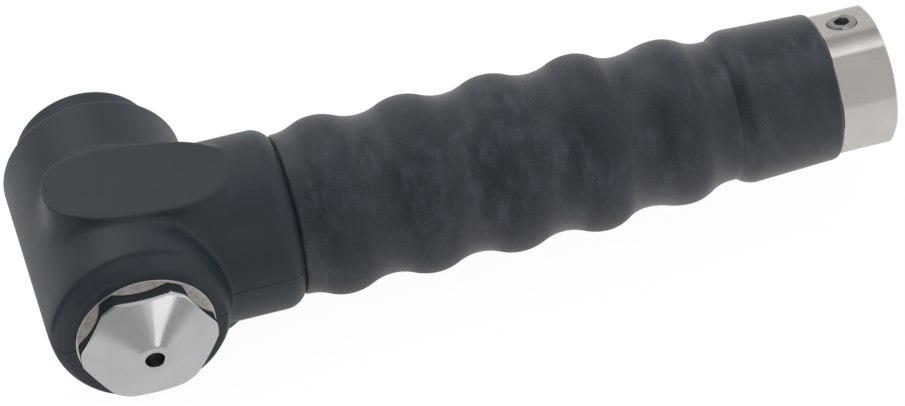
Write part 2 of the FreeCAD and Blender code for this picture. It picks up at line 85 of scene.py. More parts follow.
class Number:
    def __init__(self, tree, socket):
        self.tree = tree
        self.socket = socket

    def math(self, operation, *others):
        step = self.tree.nodes.new("ShaderNodeMath")
        step.operation = operation
        for place, item in enumerate((self, *others)):
            feed(self.tree, step.inputs[place], item)
        return Number(self.tree, step.outputs[0])

    def __add__(self, other):
        return self.math("ADD", other)

    def __sub__(self, other):
        return self.math("SUBTRACT", other)

    def __mul__(self, other):
        return self.math("MULTIPLY", other)

    def __truediv__(self, other):
        return self.math("DIVIDE", other)

    def __neg__(self):
        return self.math("MULTIPLY", -1)

    def atLeast(self, other):
        return self.math("MAXIMUM", other)

    def atMost(self, other):
        return self.math("MINIMUM", other)

    def between(self, low, high):
        # 0 at low, 1 at high, eased at both ends
        step = self.tree.nodes.new("ShaderNodeMapRange")
        step.interpolation_type = "SMOOTHSTEP"
        feed(self.tree, step.inputs["Value"], self)
        step.inputs["From Min"].default_value = low
        step.inputs["From Max"].default_value = high
        return Number(self.tree, step.outputs["Result"])


def split(tree, spot):
    step = addNode(tree, "ShaderNodeSeparateXYZ", {0: spot})
    return [Number(tree, socket) for socket in step.outputs]


def feed(tree, socket, value):
    if isinstance(value, Number):
        tree.links.new(value.socket, socket)
    elif isinstance(value, bpy.types.NodeSocket):
        tree.links.new(value, socket)
    else:
        socket.default_value = value


def addNode(tree, kind, feeds=None, **settings):
    step = tree.nodes.new(kind)
    for name, value in settings.items():
        setattr(step, name, value)
    for place, value in (feeds or {}).items():
        feed(tree, step.inputs[place], value)
    return step


# Materials

def newMaterial(name, **shine):
    # a plain shader and the object's own coordinates, in millimetres
    material = bpy.data.materials.new(name)
    material.use_nodes = True
    tree = material.node_tree
    shader = tree.nodes["Principled BSDF"]
    for socket, value in shine.items():
        shader.inputs[socket.replace("_", " ")].default_value = value
    spot = addNode(tree, "ShaderNodeTexCoord").outputs["Object"]
    return material, tree, shader, stretched(tree, spot, (1 / mm,) * 3)


def stretched(tree, spot, factors):
    step = addNode(tree, "ShaderNodeVectorMath", {0: spot, 1: factors}, operation="MULTIPLY")
    return step.outputs[0]


def noise(tree, spot, grain, detail=2.0, roughness=0.5):
    # grain is the size of the spots in millimetres
    step = addNode(tree, "ShaderNodeTexNoise",
                   {"Vector": spot, "Scale": 1 / grain, "Detail": detail, "Roughness": roughness})
    return Number(tree, step.outputs["Fac"])


def specks(tree, spot, spacing, size):
    # 1 inside small scattered dots
    step = addNode(tree, "ShaderNodeTexVoronoi", {"Vector": spot, "Scale": 1 / spacing})
    return Number(tree, step.outputs["Distance"]).between(size, size * 0.4)


def blendColours(tree, share, first, second):
    step = addNode(tree, "ShaderNodeMix", {0: share, 6: first, 7: second}, data_type="RGBA")
    return step.outputs[2]


def addBump(tree, shader, height, depth):
    step = addNode(tree, "ShaderNodeBump", {"Height": height, "Distance": depth * mm})
    feed(tree, shader.inputs["Normal"], step.outputs["Normal"])


def colour(red, green, blue):
    return (red, green, blue, 1.0)


plasticLook = {
    "cloud": 9.0, "grain": 0.28, "ripple": 1.3, "dust": 2.6, "dustSize": 0.05, "depth": 0.02,
    "cloudShare": 0.7, "grainShare": 0.3, "dustShare": 0.6, "rippleShare": 0.5,
    "cloudRough": 0.08, "grainRough": 0.06,
}


def mouldedPlastic(name, dark, light, rough):
    look = plasticLook
    material, tree, shader, spot = newMaterial(name)
    cloud = noise(tree, spot, look["cloud"], 3.0)
    grain = noise(tree, spot, look["grain"], 2.0, 0.6)
    ripple = noise(tree, spot, look["ripple"], 1.0)
    dust = specks(tree, spot, look["dust"], look["dustSize"])
    pale = cloud.between(0.3, 0.7) * look["cloudShare"] + grain * look["grainShare"]
    pale = pale + dust * look["dustShare"]
    feed(tree, shader.inputs["Base Color"], blendColours(tree, pale, dark, light))
    feed(tree, shader.inputs["Roughness"],
         cloud * look["cloudRough"] + grain * look["grainRough"] + rough)
    addBump(tree, shader, grain + ripple * look["rippleShare"], look["depth"])
    return material


rubberLook = {
    "dark": colour(0.017, 0.025, 0.037), "light": colour(0.074, 0.086, 0.108),
    "streak": 3.4, "streakStretch": (1.0, 0.45, 0.45), "patch": 15.0, "grain": 0.42, "depth": 0.05,
    "streakEdges": (0.42, 0.72), "patchEdges": (0.3, 0.65), "grainEdges": (0.4, 0.75),
    "grainShare": 0.8, "streakShare": 0.3, "dustShare": 0.22,
    "rough": 0.56, "bloomRough": 0.12, "hollowShine": 0.16,
    "hollowRadii": (17.7, 16.3),      # the dips between the finger rings are smoother
}


def gripRubberFinish():
    look = rubberLook
    material, tree, shader, spot = newMaterial("gripRubber", Sheen_Weight=0.2, Sheen_Roughness=0.4)
    streaks = noise(tree, stretched(tree, spot, look["streakStretch"]), look["streak"], 4.0, 0.62)
    patches = noise(tree, spot, look["patch"], 2.0)
    grain = noise(tree, spot, look["grain"], 3.0, 0.7)
    bloom = streaks.between(*look["streakEdges"]) * patches.between(*look["patchEdges"])
    bloom = bloom * (grain * look["grainShare"] + look["streakShare"])
    bloom = bloom + grain.between(*look["grainEdges"]) * look["dustShare"]
    feed(tree, shader.inputs["Base Color"], blendColours(tree, bloom, look["dark"], look["light"]))
    fromAxis = addNode(tree, "ShaderNodeVectorMath", {0: stretched(tree, spot, (0, 1, 1))},
                       operation="LENGTH")
    hollows = Number(tree, fromAxis.outputs["Value"]).between(*look["hollowRadii"])
    feed(tree, shader.inputs["Roughness"],
         bloom * look["bloomRough"] - hollows * look["hollowShine"] + look["rough"])
    addBump(tree, shader, grain + patches, look["depth"])
    return material


metalLook = {
    "scratch": 0.25, "cloud": 6.0, "cloudShare": 0.6, "scratchShare": 0.4, "scratchRough": 0.08,
    "darker": 0.9, "depth": 0.004,
}


def polishedMetal(name, tint, rough, scratchStretch):
    look = metalLook
    material, tree, shader, spot = newMaterial(name, Metallic=1.0)
    fine = noise(tree, stretched(tree, spot, scratchStretch), look["scratch"], 2.0)
    cloud = noise(tree, spot, look["cloud"], 2.0)
    worn = cloud.between(0.3, 0.75) * look["cloudShare"] + fine * look["scratchShare"]
    darker = colour(*(part * look["darker"] for part in tint[:3]))
    feed(tree, shader.inputs["Base Color"], blendColours(tree, worn, tint, darker))
    feed(tree, shader.inputs["Roughness"], fine * look["scratchRough"] + rough)
    addBump(tree, shader, fine, look["depth"])
    return material


turnedLook = {
    "clean": colour(0.68, 0.65, 0.61), "brown": colour(0.49, 0.44, 0.39),
    "stain": 1.1, "stainEdges": (0.35, 0.7), "stainRough": 0.12, "rough": 0.24, "depth": 0.02,
}


def turnedFinish(name):
    # dull turned metal with a brown cast
    look = turnedLook
    material, tree, shader, spot = newMaterial(name, Metallic=1.0)
    stain = noise(tree, spot, look["stain"], 4.0, 0.65)
    feed(tree, shader.inputs["Base Color"],
         blendColours(tree, stain.between(*look["stainEdges"]), look["clean"], look["brown"]))
    feed(tree, shader.inputs["Roughness"], stain * look["stainRough"] + look["rough"])
    addBump(tree, shader, stain, look["depth"])
    return material


finishes = {
    "casing_plastic": mouldedPlastic("casingPlastic", colour(0.016, 0.027, 0.040),
                                     colour(0.022, 0.033, 0.047), 0.40),
    "button_plastic": mouldedPlastic("buttonPlastic", colour(0.016, 0.026, 0.038),
                                     colour(0.022, 0.032, 0.045), 0.44),
    "grip_rubber": gripRubberFinish(),
    "nozzle_chrome": polishedMetal("nozzleChrome", colour(0.62, 0.625, 0.64), 0.05, (1, 1, 1)),
    "nozzle_flange": turnedFinish("turnedFlange"),
    "fitting_steel": polishedMetal("fittingSteel", colour(0.56, 0.53, 0.50), 0.27, (0.15, 1, 1)),
    "valve_brass": polishedMetal("valveBrass", colour(0.62, 0.44, 0.20), 0.30, (1, 0.2, 1)),
    "stainless_steel": polishedMetal("stainlessSteel", colour(0.50, 0.49, 0.47), 0.26, (0.2, 1, 1)),
    "spring_steel": polishedMetal("springSteel", colour(0.42, 0.41, 0.40), 0.32, (1, 1, 1)),
    "screw_steel": polishedMetal("screwSteel", colour(0.34, 0.33, 0.32), 0.30, (1, 1, 0.2)),
    "seal_rubber": mouldedPlastic("sealRubber", colour(0.012, 0.012, 0.012),
                                  colour(0.022, 0.022, 0.022), 0.55),
}
for part in frame["record"]["subparts"]:
    for place in frame["nodes"][part["node"]].material_slots:
        place.material = finishes[part["material_slot"]]
print("materials made")


# Meshes built from rings of points round an axis

def roundedPath(corners, stepsPerRound=6):
    # (along, out, round) corners, each rounded by an arc of that radius
    path = []
    for index, (along, out, radius) in enumerate(corners):
        corner = Vector((along, out))
        if radius == 0 or index in (0, len(corners) - 1):
            path.append(corner)
            continue
        back = (Vector(corners[index - 1][:2]) - corner).normalized()
        on = (Vector(corners[index + 1][:2]) - corner).normalized()
        half = back.angle(on) / 2
        centre = corner + (back + on).normalized() * (radius / math.sin(half))
        first = corner + back * (radius / math.tan(half)) - centre
        last = corner + on * (radius / math.tan(half)) - centre
        path += [centre + first.slerp(last, step / stepsPerRound).normalized() * radius
                 for step in range(stepsPerRound + 1)]
    return path


def levelArc(run, rise, steps=10):
    # points of an arc that starts level and ends at (run, rise)
    radius = (run ** 2 + rise ** 2) / (2 * abs(rise))
    turn = math.asin(run / radius)
    return [Vector((radius * math.sin(turn * step / steps),
                    math.copysign(radius * (1 - math.cos(turn * step / steps)), rise)))
            for step in range(steps + 1)]


def wave(start, end):
    # two equal arcs from a level point to a level point
    arc = levelArc(*(end - start) / 2)
    return [start + spot for spot in arc[:-1]] + [end - spot for spot in arc[:0:-1]]


def withSupports(rings, joined, run=0.6, inset=0.1):
    # a ring close to each end of a long stretch, so that its flat part keeps flat shading
    kept = []
    count = len(rings)
    for row in range(count):
        kept.append(rings[row])
        if row == count - 1 and not joined:
            break
        step = rings[(row + 1) % count] - rings[row]
        length = np.linalg.norm(step, axis=-1).max() / mm
        if length > run:
            kept.append(rings[row] + step * inset / length)
            kept.append(rings[row] + step * (1 - inset / length))
    return np.array(kept)


def meshOfRings(name, rings, joined=False):
    # joined: the last ring meets the first; otherwise a point closes each end
    rings = withSupports(rings, joined)
    count, columns = rings.shape[:2]
    points = rings.reshape(-1, 3)
    here = np.arange(count * columns).reshape(count, columns)
    beside = np.roll(here, -1, axis=1)
    faces = np.stack([here, beside, np.roll(beside, -1, axis=0), np.roll(here, -1, axis=0)], axis=-1)
    faces = (faces if joined else faces[:-1]).reshape(-1, 4).tolist()
    if not joined:
        points = np.concatenate([points, rings[:1].mean(1), rings[-1:].mean(1)])
        last, tip = (count - 1) * columns, count * columns
        for left, right in zip(here[0].tolist(), beside[0].tolist()):
            faces += [(right, left, tip), (last + left, last + right, tip + 1)]
    mesh = bpy.data.meshes.new(name)
    mesh.from_pydata(points.tolist(), [], faces)
    return tidied(mesh)


def tidied(mesh, crease=34):
    work = bmesh.new()
    work.from_mesh(mesh)
    bmesh.ops.remove_doubles(work, verts=work.verts, dist=1e-6)
    bmesh.ops.recalc_face_normals(work, faces=work.faces)
    work.to_mesh(mesh)
    work.free()
    mesh.shade_smooth()
    mesh.set_sharp_from_angle(angle=math.radians(crease))
    return mesh


def spun(name, path, origin, axis, side, angles, joined=False):
    # path: (along, out) pairs in millimetres, each one number or one for every angle
    level = np.ones_like(angles)
    along, out = (np.array([pair[place] * level for pair in path])[..., None] * mm for place in (0, 1))
    up = axis.cross(side)
    spokes = np.cos(angles)[:, None] * np.array(side) + np.sin(angles)[:, None] * np.array(up)
    return meshOfRings(name, np.array(origin) + along * np.array(axis) + out * spokes, joined)


def turned(name, path, origin, axis, side, columns=256, joined=False):
    angles = np.linspace(0, 2 * math.pi, columns, endpoint=False)
    return spun(name, path, origin, axis, side, angles, joined)


def addPiece(name, mesh):
    piece = bpy.data.objects.new(name, mesh)
    bpy.context.scene.collection.objects.link(piece)
    return piece


def evaluated(piece):
    bpy.context.view_layer.update()
    return bpy.data.meshes.new_from_object(piece.evaluated_get(bpy.context.evaluated_depsgraph_get()))


def carve(piece, cutter, operation="DIFFERENCE"):
    # cuts cutter from piece, or adds it, and throws the cutter away
    step = piece.modifiers.new("carve", "BOOLEAN")
    step.operation = operation
    step.solver = "MANIFOLD"
    step.object = cutter
    mesh = evaluated(piece)
    piece.modifiers.remove(step)
    piece.data = mesh
    bpy.data.objects.remove(cutter)
    return piece


# Hexagons with turned corners

def hexagonOutline(acrossFlats, cornerRadius, soften, flatSteps=14, cornerSteps=8):
    # angles from the middle of a flat, and the radius at each, softened by that much at the edges
    edge = math.acos(acrossFlats / 2 / cornerRadius)
    angles = []
    for index in range(6):
        middle = index * math.pi / 3
        angles += list(middle + np.linspace(-edge, edge, flatSteps, endpoint=False))
        angles += list(middle + np.linspace(edge, math.pi / 3 - edge, cornerSteps, endpoint=False))
    angles = np.array(sorted(angles))
    turn = (angles + math.pi / 6) % (math.pi / 3) - math.pi / 6
    flat = acrossFlats / 2 / np.cos(turn)
    gap = np.abs(flat - cornerRadius)
    share = np.maximum(soften - gap, 0) / soften
    return angles, np.minimum(flat, cornerRadius) - share ** 2 * soften / 4


def keyOutline(size):
    # of a screw's hexagon socket, its corners a little softened
    corner = size["key"] / 2 / math.cos(math.pi / 6) - size["keyCorner"]
    return hexagonOutline(size["key"], corner, size["keySoften"], size["keySteps"], 3)


def keySocket(size, key, face, inward):
    # the socket's rings, from the screw's end face; inward is 1 or -1 along the axis
    edge, depth = size["keyEdge"], size["keyDepth"]
    return [(face, key + edge), (face + inward * edge, key), (face + inward * depth, key),
            (face + inward * (depth + size["keyPoint"]), key * 0.2)]


# Geometry Nodes trees with named inputs

def newTree(name, inputs):
    # inputs: name to starting value; a geometry goes in and comes out as well
    tree = bpy.data.node_groups.new(name, "GeometryNodeTree")
    tree.interface.new_socket("Geometry", in_out="INPUT", socket_type="NodeSocketGeometry")
    for title, value in inputs.items():
        kind = "NodeSocketInt" if isinstance(value, int) else "NodeSocketFloat"
        tree.interface.new_socket(title, in_out="INPUT", socket_type=kind).default_value = value
    tree.interface.new_socket("Geometry", in_out="OUTPUT", socket_type="NodeSocketGeometry")
    source = tree.nodes.new("NodeGroupInput")
    size = {title: Number(tree, source.outputs[title]) for title in inputs}
    return tree, size


def endTree(tree, geometry, material):
    whole = addNode(tree, "GeometryNodeRealizeInstances", {"Geometry": geometry})
    painted = addNode(tree, "GeometryNodeSetMaterial",
                      {"Geometry": whole.outputs[0], "Material": material})
    tree.links.new(painted.outputs[0], tree.nodes.new("NodeGroupOutput").inputs[0])


def runTree(name, tree, inputs):
    # the tree's result as a plain mesh piece
    piece = addPiece(name, bpy.data.meshes.new(name))
    step = piece.modifiers.new("shape", "NODES")
    step.node_group = tree
    for socket in tree.interface.items_tree:
        if socket.in_out == "INPUT" and socket.name in inputs:
            step[socket.identifier] = inputs[socket.name]
    mesh = evaluated(piece)
    piece.modifiers.remove(step)
    piece.data = mesh
    return piece


def giveFinish(piece, slotName, body, *nodes):
    piece.data.materials.clear()
    piece.data.materials.append(finishes[slotName])
    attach(piece, body)
    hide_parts(*nodes)


# Casing screws: the same tree places the screws, their sinks and the posts they sit in

casingScrewPlaces = {
    "Neck X": 27.6, "Neck Y": 12.6, "Neck Seat": -9.6,
    "Head X": -14.4, "Head Y": 8.0, "Head Seat": -6.0,
    "Turn": 0.7,                      # of each screw's key after the one before, in radians
}
casingScrewSizes = {
    "radius": 1.25, "length": 14.0, "tipRadius": 0.25, "tipLength": 0.6,
    "headRadius": 2.05, "headHeight": 1.8, "headRound": 0.45, "seatRound": 0.1,
    "key": 2.0, "keyDepth": 1.2, "keyEdge": 0.08, "keyPoint": 0.3,
    "keyCorner": 0.02, "keySoften": 0.05, "keySteps": 6,
    "sinkRadius": 2.35, "holeRadius": 1.3, "holeEnd": 1.0, "postRadius": 2.8,
}


def casingScrewMesh():
    size = casingScrewSizes
    angles, key = keyOutline(size)
    head = -size["headHeight"]
    path = [(size["length"], size["tipRadius"]), (size["length"] - size["tipLength"], size["radius"]),
            (0, size["radius"])]
    path += roundedPath([
        (0, size["radius"], 0), (0, size["headRadius"], size["seatRound"]),
        (head, size["headRadius"], size["headRound"]), (head, 0, 0)], 5)[1:-1]
    path += keySocket(size, key, head, 1)
    return spun("casingScrew", path, Vector(), above, across, angles)


def casingScrewTree(pattern):
    tree, size = newTree("casingScrews", casingScrewPlaces)
    line = addNode(tree, "GeometryNodeMeshLine", {"Count": 3})
    index = Number(tree, tree.nodes.new("GeometryNodeInputIndex").outputs[0])
    onNeck = index.math("GREATER_THAN", 1.5)      # the third; the first two are on the head
    side = index.math("COMPARE", 0, 0.5) * -2 + 1
    x, y, seat = (size["Head " + title] + onNeck * (size["Neck " + title] - size["Head " + title])
                  for title in ("X", "Y", "Seat"))
    place = addNode(tree, "ShaderNodeCombineXYZ",
                    {0: x * mm + headPoint.x, 1: side * y * mm, 2: seat * mm})
    placed = addNode(tree, "GeometryNodeSetPosition",
                     {"Geometry": line.outputs[0], "Position": place.outputs[0]})
    source = addNode(tree, "GeometryNodeObjectInfo", {"Object": pattern})
    turn = addNode(tree, "ShaderNodeCombineXYZ", {2: index * size["Turn"]})
    screws = addNode(tree, "GeometryNodeInstanceOnPoints",
                     {"Points": placed.outputs[0], "Instance": source.outputs["Geometry"],
                      "Rotation": turn.outputs[0]})
    endTree(tree, screws.outputs[0], finishes["screw_steel"])
    return tree


def atCasingScrews(name, mesh):
    # a copy of the mesh at each casing screw's place
    pattern = addPiece(mesh.name, mesh)
    copies = runTree(name, casingScrewTree(pattern), casingScrewPlaces)
    bpy.data.objects.remove(pattern)
    return copies


def screwPosts():
    reach = headHigh.z / mm * 2
    radius = casingScrewSizes["postRadius"]
    path = [(-reach, 0), (-reach, radius), (reach, radius), (reach, 0)]
    return atCasingScrews("posts", turned("post", path, Vector(), above, across, 64))


def screwSinks():
    reach = headHigh.z / mm
    sink, hole = casingScrewSizes["sinkRadius"], casingScrewSizes["holeRadius"]
    end = casingScrewSizes["length"] + casingScrewSizes["holeEnd"]
    path = [(-reach, 0), (-reach, sink), (0, sink), (0, hole), (end, hole), (end, 0)]
    return atCasingScrews("sinks", turned("sink", path, Vector(), above, across, 64))


# Head casing: the outside is a distance field, the inside is turned cutters

casingSizes = {
    "Head Radius": 18.6,
    "Front": 23.4,
    "Front Radius": 13.5,         # crown of the face round the nozzle
    "Front Centre Y": 15.18,      # of that crown, before the axis
    "Front Centre Out": 5.62,
    "Crest Blend": 1.8,
    "Front Edge": 0.35,
    "Back": 26.4,
    "Rim Round": 0.8,
    "Neck Radius": 18.4,
    "Neck Length": 34.1,
    "Neck Round": 4.6,
    "Neck Round Centre X": 30.1,
    "Neck Fillet": 1.5,
    "Pad Height": 20.3,
    "Pad Fall": 3.05,             # degrees, towards the neck
    "Pad Centre": 4.9,
    "Pad Half Length": 18.3,
    "Pad Half Width": 10.3,       # the fillet widens it
    "Pad Squareness": 2.65,
    "Pad Turn": -5.5,
    "Pad Fillet": 4.0,
    "Pad Edge": 0.8,
}
casingGrid = {"voxel": 0.36, "outside": -10.0, "passes": 2}
casingInside = {
    "lipBack": -19.0, "wallRadius": 16.2, "rimStart": 21.0, "buttonHole": 14.8,
    "flangeSeat": -21.0, "flangeHole": 14.15, "spigotHole": 11.05, "edge": 0.08,
    "neckWall": 16.0, "neckWallEnd": 31.4, "tailRadius": 12.5, "tailHole": 10.3, "tailRound": 0.4,
    "beyond": 1.0, "seamWidth": 0.17, "seamDepth": 0.18,
}


def lengthOf(first, second):
    return (first * first + second * second).math("SQRT")


def roundedEdge(first, second, radius):
    # distance to a corner of that radius between two faces
    first = first + radius
    second = second + radius
    return lengthOf(first.atLeast(0), second.atLeast(0)) + first.atLeast(second).atMost(0) - radius


def casingDistance(tree, size):
    # signed distance in millimetres from the outside of head, neck and pads
    spot = addNode(tree, "ShaderNodeVectorMath",
                   {0: tree.nodes.new("GeometryNodeInputPosition").outputs[0], 1: headPoint},
                   operation="SUBTRACT")
    x, y, z = split(tree, stretched(tree, spot.outputs[0], (1 / mm,) * 3))
    high = z.math("ABSOLUTE")

    fromAxis = lengthOf(x, z)
    crown = lengthOf((-y - size["Front Centre Y"]).atLeast(0),
                     (fromAxis - size["Front Centre Out"]).atLeast(0)) - size["Front Radius"]
    front = (fromAxis - size["Head Radius"]).math("SMOOTH_MAX", crown, size["Crest Blend"])
    front = front.math("SMOOTH_MAX", -y - size["Front"], size["Front Edge"])
    back = roundedEdge(fromAxis - size["Head Radius"], y - size["Back"], size["Rim Round"])
    head = front.atLeast(back)

    fromHandle = lengthOf(y, z)
    shoulder = lengthOf((x - size["Neck Round Centre X"]).atLeast(0),
                        (fromHandle - size["Neck Radius"] + size["Neck Round"]).atLeast(0))
    neck = (fromHandle - size["Neck Radius"]).atLeast(shoulder - size["Neck Round"])
    neck = neck.atLeast(x - size["Neck Length"]).atLeast(-x)
    headAndNeck = head.math("SMOOTH_MIN", neck, size["Neck Fillet"])

    turn = size["Pad Turn"].math("RADIANS")
    cosine, sine = turn.math("COSINE"), turn.math("SINE")
    fromCentre = x - size["Pad Centre"]
    longWay = (fromCentre * cosine + y * sine).math("ABSOLUTE") / size["Pad Half Length"]
    shortWay = (y * cosine - fromCentre * sine).math("ABSOLUTE") / size["Pad Half Width"]
    power = size["Pad Squareness"]
    level = (longWay.math("POWER", power) + shortWay.math("POWER", power)).atLeast(0.01)
    level = level.math("POWER", power.math("POWER", -1))
    slope = lengthOf((longWay / level).math("POWER", power - 1) / size["Pad Half Length"],
                     (shortWay / level).math("POWER", power - 1) / size["Pad Half Width"])
    pad = headAndNeck.math("SMOOTH_MIN", (level - 1) / slope.atLeast(0.01), size["Pad Fillet"])
    fall = size["Pad Fall"].math("RADIANS")
    fromEnd = fromCentre + size["Pad Half Length"]
    top = (high - size["Pad Height"] + fromEnd * fall.math("TANGENT")) * fall.math("COSINE")
    return headAndNeck.atMost(pad.math("SMOOTH_MAX", top, size["Pad Edge"]))


def casingTree():
    voxel = casingGrid["voxel"] * mm
    tree, size = newTree("casingShape", {**casingSizes, "Across": 1, "Along": 1, "Up": 1})
    margin = Vector((3 * voxel,) * 3)
    neckEnd = headPoint.x + casingSizes["Neck Length"] * mm
    low = headLow - margin
    high = Vector((neckEnd, headHigh.y, headHigh.z)) + margin
    low.z = -high.z
    block = addNode(tree, "GeometryNodeVolumeCube",
                    {"Density": -casingDistance(tree, size), "Background": casingGrid["outside"],
                     "Min": low, "Max": high, "Resolution X": size["Across"],
                     "Resolution Y": size["Along"], "Resolution Z": size["Up"]})
    skin = addNode(tree, "GeometryNodeVolumeToMesh", {"Volume": block.outputs[0], "Threshold": 0.0})
    geometry = skin.outputs[0]
    for _ in range(casingGrid["passes"]):
        # each point slides along its normal onto the surface
        normal = tree.nodes.new("GeometryNodeInputNormal").outputs[0]
        shift = addNode(tree, "ShaderNodeVectorMath",
                        {0: normal, "Scale": casingDistance(tree, size) * -mm}, operation="SCALE")
        moved = addNode(tree, "GeometryNodeSetPosition",
                        {"Geometry": geometry, "Offset": shift.outputs[0]})
        geometry = moved.outputs[0]
    endTree(tree, geometry, finishes["casing_plastic"])
    counts = [int((high[axis] - low[axis]) / voxel) + 1 for axis in range(3)]
    return tree, {**casingSizes, **dict(zip(("Across", "Along", "Up"), counts))}


blank = runTree("casingBlank", *casingTree())
blank.data = tidied(blank.data)
print("casing outside", len(blank.data.polygons), "faces")


def casingHollow():
    inside = casingInside
    edge, beyond = inside["edge"], inside["beyond"]
    flangeHole, spigotHole = inside["flangeHole"], inside["spigotHole"]
    wall, buttonHole, tailHole = inside["wallRadius"], inside["buttonHole"], inside["tailHole"]
    front, back = -casingSizes["Front"], casingSizes["Back"]
    path = [
        (front - beyond, 0), (front - beyond, flangeHole + beyond + edge), (front + edge, flangeHole),
        (inside["flangeSeat"], flangeHole), (inside["flangeSeat"], spigotHole),
        (inside["lipBack"], spigotHole), (inside["lipBack"], wall), (inside["rimStart"], wall),
        (inside["rimStart"], buttonHole), (back - edge, buttonHole),
        (back + beyond, buttonHole + beyond + edge), (back + beyond, 0)]
    head = addPiece("headHollow", turned("headHollow", path, headPoint, ahead, across))
    tailEnd = (fittingLow.x - headPoint.x) / mm + beyond
    path = [(0, 0), (0, inside["neckWall"]), (inside["neckWallEnd"], inside["neckWall"]),
            (inside["neckWallEnd"], tailHole), (tailEnd, tailHole), (tailEnd, 0)]
    neck = addPiece("neckHollow", turned("neckHollow", path, headPoint, across, ahead))
    return carve(carve(head, neck, "UNION"), screwPosts())


def casingTail():
    start, radius = casingInside["neckWallEnd"], casingInside["tailRadius"]
    end = (fittingLow.x - headPoint.x) / mm
    path = roundedPath([(start, 0, 0), (start, radius, 0), (end, radius, casingInside["tailRound"]),
                        (end, 0, 0)])
    return addPiece("casingTail", turned("casingTail", path, headPoint, across, ahead, 128))


def halfOf(whole, name, side):
    # one half, with the edge of its parting face broken so that the seam shows as a fine groove
    half = addPiece(name, whole.data.copy())
    work = bmesh.new()
    reach = cadBox[1] - cadBox[0] + Vector((0.02,) * 3)
    middle = (cadBox[1] + cadBox[0]) / 2
    middle.z = side * reach.z / 2
    bmesh.ops.create_cube(work, size=1.0, matrix=Matrix.LocRotScale(middle, None, reach))
    box = bpy.data.meshes.new("halfBox")
    work.to_mesh(box)
    work.free()
    carve(half, addPiece("halfBox", box), "INTERSECT")

    nearly = 1e-6                     # metres from the parting plane
    work = bmesh.new()
    work.from_mesh(half.data)
    level = [face for face in work.faces
             if isLevel(face) and abs(face.calc_center_median().z) < nearly]
    bmesh.ops.triangulate(work, faces=level)
    bmesh.ops.bisect_plane(work, geom=work.verts[:] + work.edges[:] + work.faces[:], dist=1e-7,
                           plane_co=(0, 0, side * casingInside["seamWidth"] * mm), plane_no=(0, 0, 1))
    moves = {}
    for point in work.verts:
        walls = [face.normal * face.calc_area() for face in point.link_faces
                 if abs(face.normal.z) < 0.7]
        if abs(point.co.z) < nearly and walls and any(isLevel(face) for face in point.link_faces):
            outward = sum(walls, Vector())
            outward.z = 0
            moves[point] = outward.normalized() * (-casingInside["seamDepth"] * mm)
    for point, move in moves.items():
        point.co += move
    work.to_mesh(half.data)
    work.free()
    half.data = tidied(half.data)
    return half


def isLevel(face):
    return abs(face.normal.z) > 0.99


carve(blank, casingTail(), "UNION")
carve(blank, casingHollow())
carve(blank, screwSinks())
shellUpper = halfOf(blank, "casing_upper", 1)
shellLower = halfOf(blank, "casing_lower", -1)
bpy.data.objects.remove(blank)
giveFinish(shellUpper, "casing_plastic", "handle", "head_shell_upper")
giveFinish(shellLower, "casing_plastic", "handle", "head_shell_lower")
print("casing halves", len(shellUpper.data.polygons), len(shellLower.data.polygons))


# Grip

gripSizes = {
    "pitch": 18.0, "firstCrest": 43.6, "crestRadius": 18.4, "dipRadius": 16.45, "rings": 4,
    "lastCrestRadius": 17.15, "lastDipRadius": 15.75,
    "collarDip": 14.5, "collarDipRun": 9.3, "collarGroove": 1.6, "collarRise": 3.6,
    "collarRadius": 16.0, "collarEndRadius": 15.25, "collarRound": 1.3, "collarSteps": 10,
    "startRound": 0.8, "insideRadius": 12.5,
}


def gripPath():
    # (from the head's axis, radius)
    size = gripSizes
    pitch, inside, steps = size["pitch"], size["insideRadius"], size["collarSteps"]
    start = (gripLow.x - headPoint.x) / mm
    end = (gripHigh.x - headPoint.x) / mm
    stops = [Vector((start + size["startRound"], size["dipRadius"]))]
    for index in range(size["rings"]):
        crest = size["firstCrest"] + index * pitch
        stops.append(Vector((crest, size["crestRadius"])))
        if index < size["rings"] - 1:
            stops.append(Vector((crest + pitch / 2, size["dipRadius"])))
    lastCrest = size["firstCrest"] + size["rings"] * pitch
    dip = lastCrest + size["collarDipRun"]
    stops.append(Vector((lastCrest - pitch / 2, size["lastDipRadius"])))
    stops.append(Vector((lastCrest, size["lastCrestRadius"])))
    stops.append(Vector((dip, size["collarDip"])))
    path = roundedPath([(start, inside, 0), (start, size["dipRadius"], size["startRound"]),
                        (*stops[0], 0)])[1:-1]
    for first, second in zip(stops, stops[1:]):
        path += wave(first, second)
    path.append(stops[-1])
    shoulder = Vector((dip + size["collarGroove"] + size["collarRise"], size["collarRadius"]))
    arc = levelArc(size["collarRise"], size["collarRadius"] - size["collarDip"], steps)
    path += [shoulder - spot for spot in arc[::-1]]
    path += roundedPath([(*shoulder, 0), (end, size["collarEndRadius"], size["collarRound"]),
                         (end, inside, 0)], steps)[1:-1]
    return path + [(end, inside), (start, inside)]


grip = addPiece("grip", turned("grip", gripPath(), headPoint, across, ahead, 240, True))
giveFinish(grip, "grip_rubber", "handle", "grip_sleeve")
print("grip", len(grip.data.polygons))


# Nozzle

nozzleSizes = {
    "flangeBack": -21.0, "flangeFront": -23.4, "flangeRadius": 14.1, "flangeEdge": 0.16,
    "acrossFlats": 25.4, "cornerRadius": 13.75, "cornerFront": -26.7, "soften": 0.16,
    "rootWidth": 0.02, "rootHeight": 0.1, "edgeBack": 0.12, "edgeFront": 0.03,
    "tip": -31.0, "tipRadius": 3.0, "tipEdge": 0.08,
    "orificeRadius": 1.94, "orificeEdge": 0.1, "orificeLength": 2.4,
    "boreRadius": 6.7, "threadRadius": 8.0, "threadLength": 7.0, "threadEdge": 0.5,
}


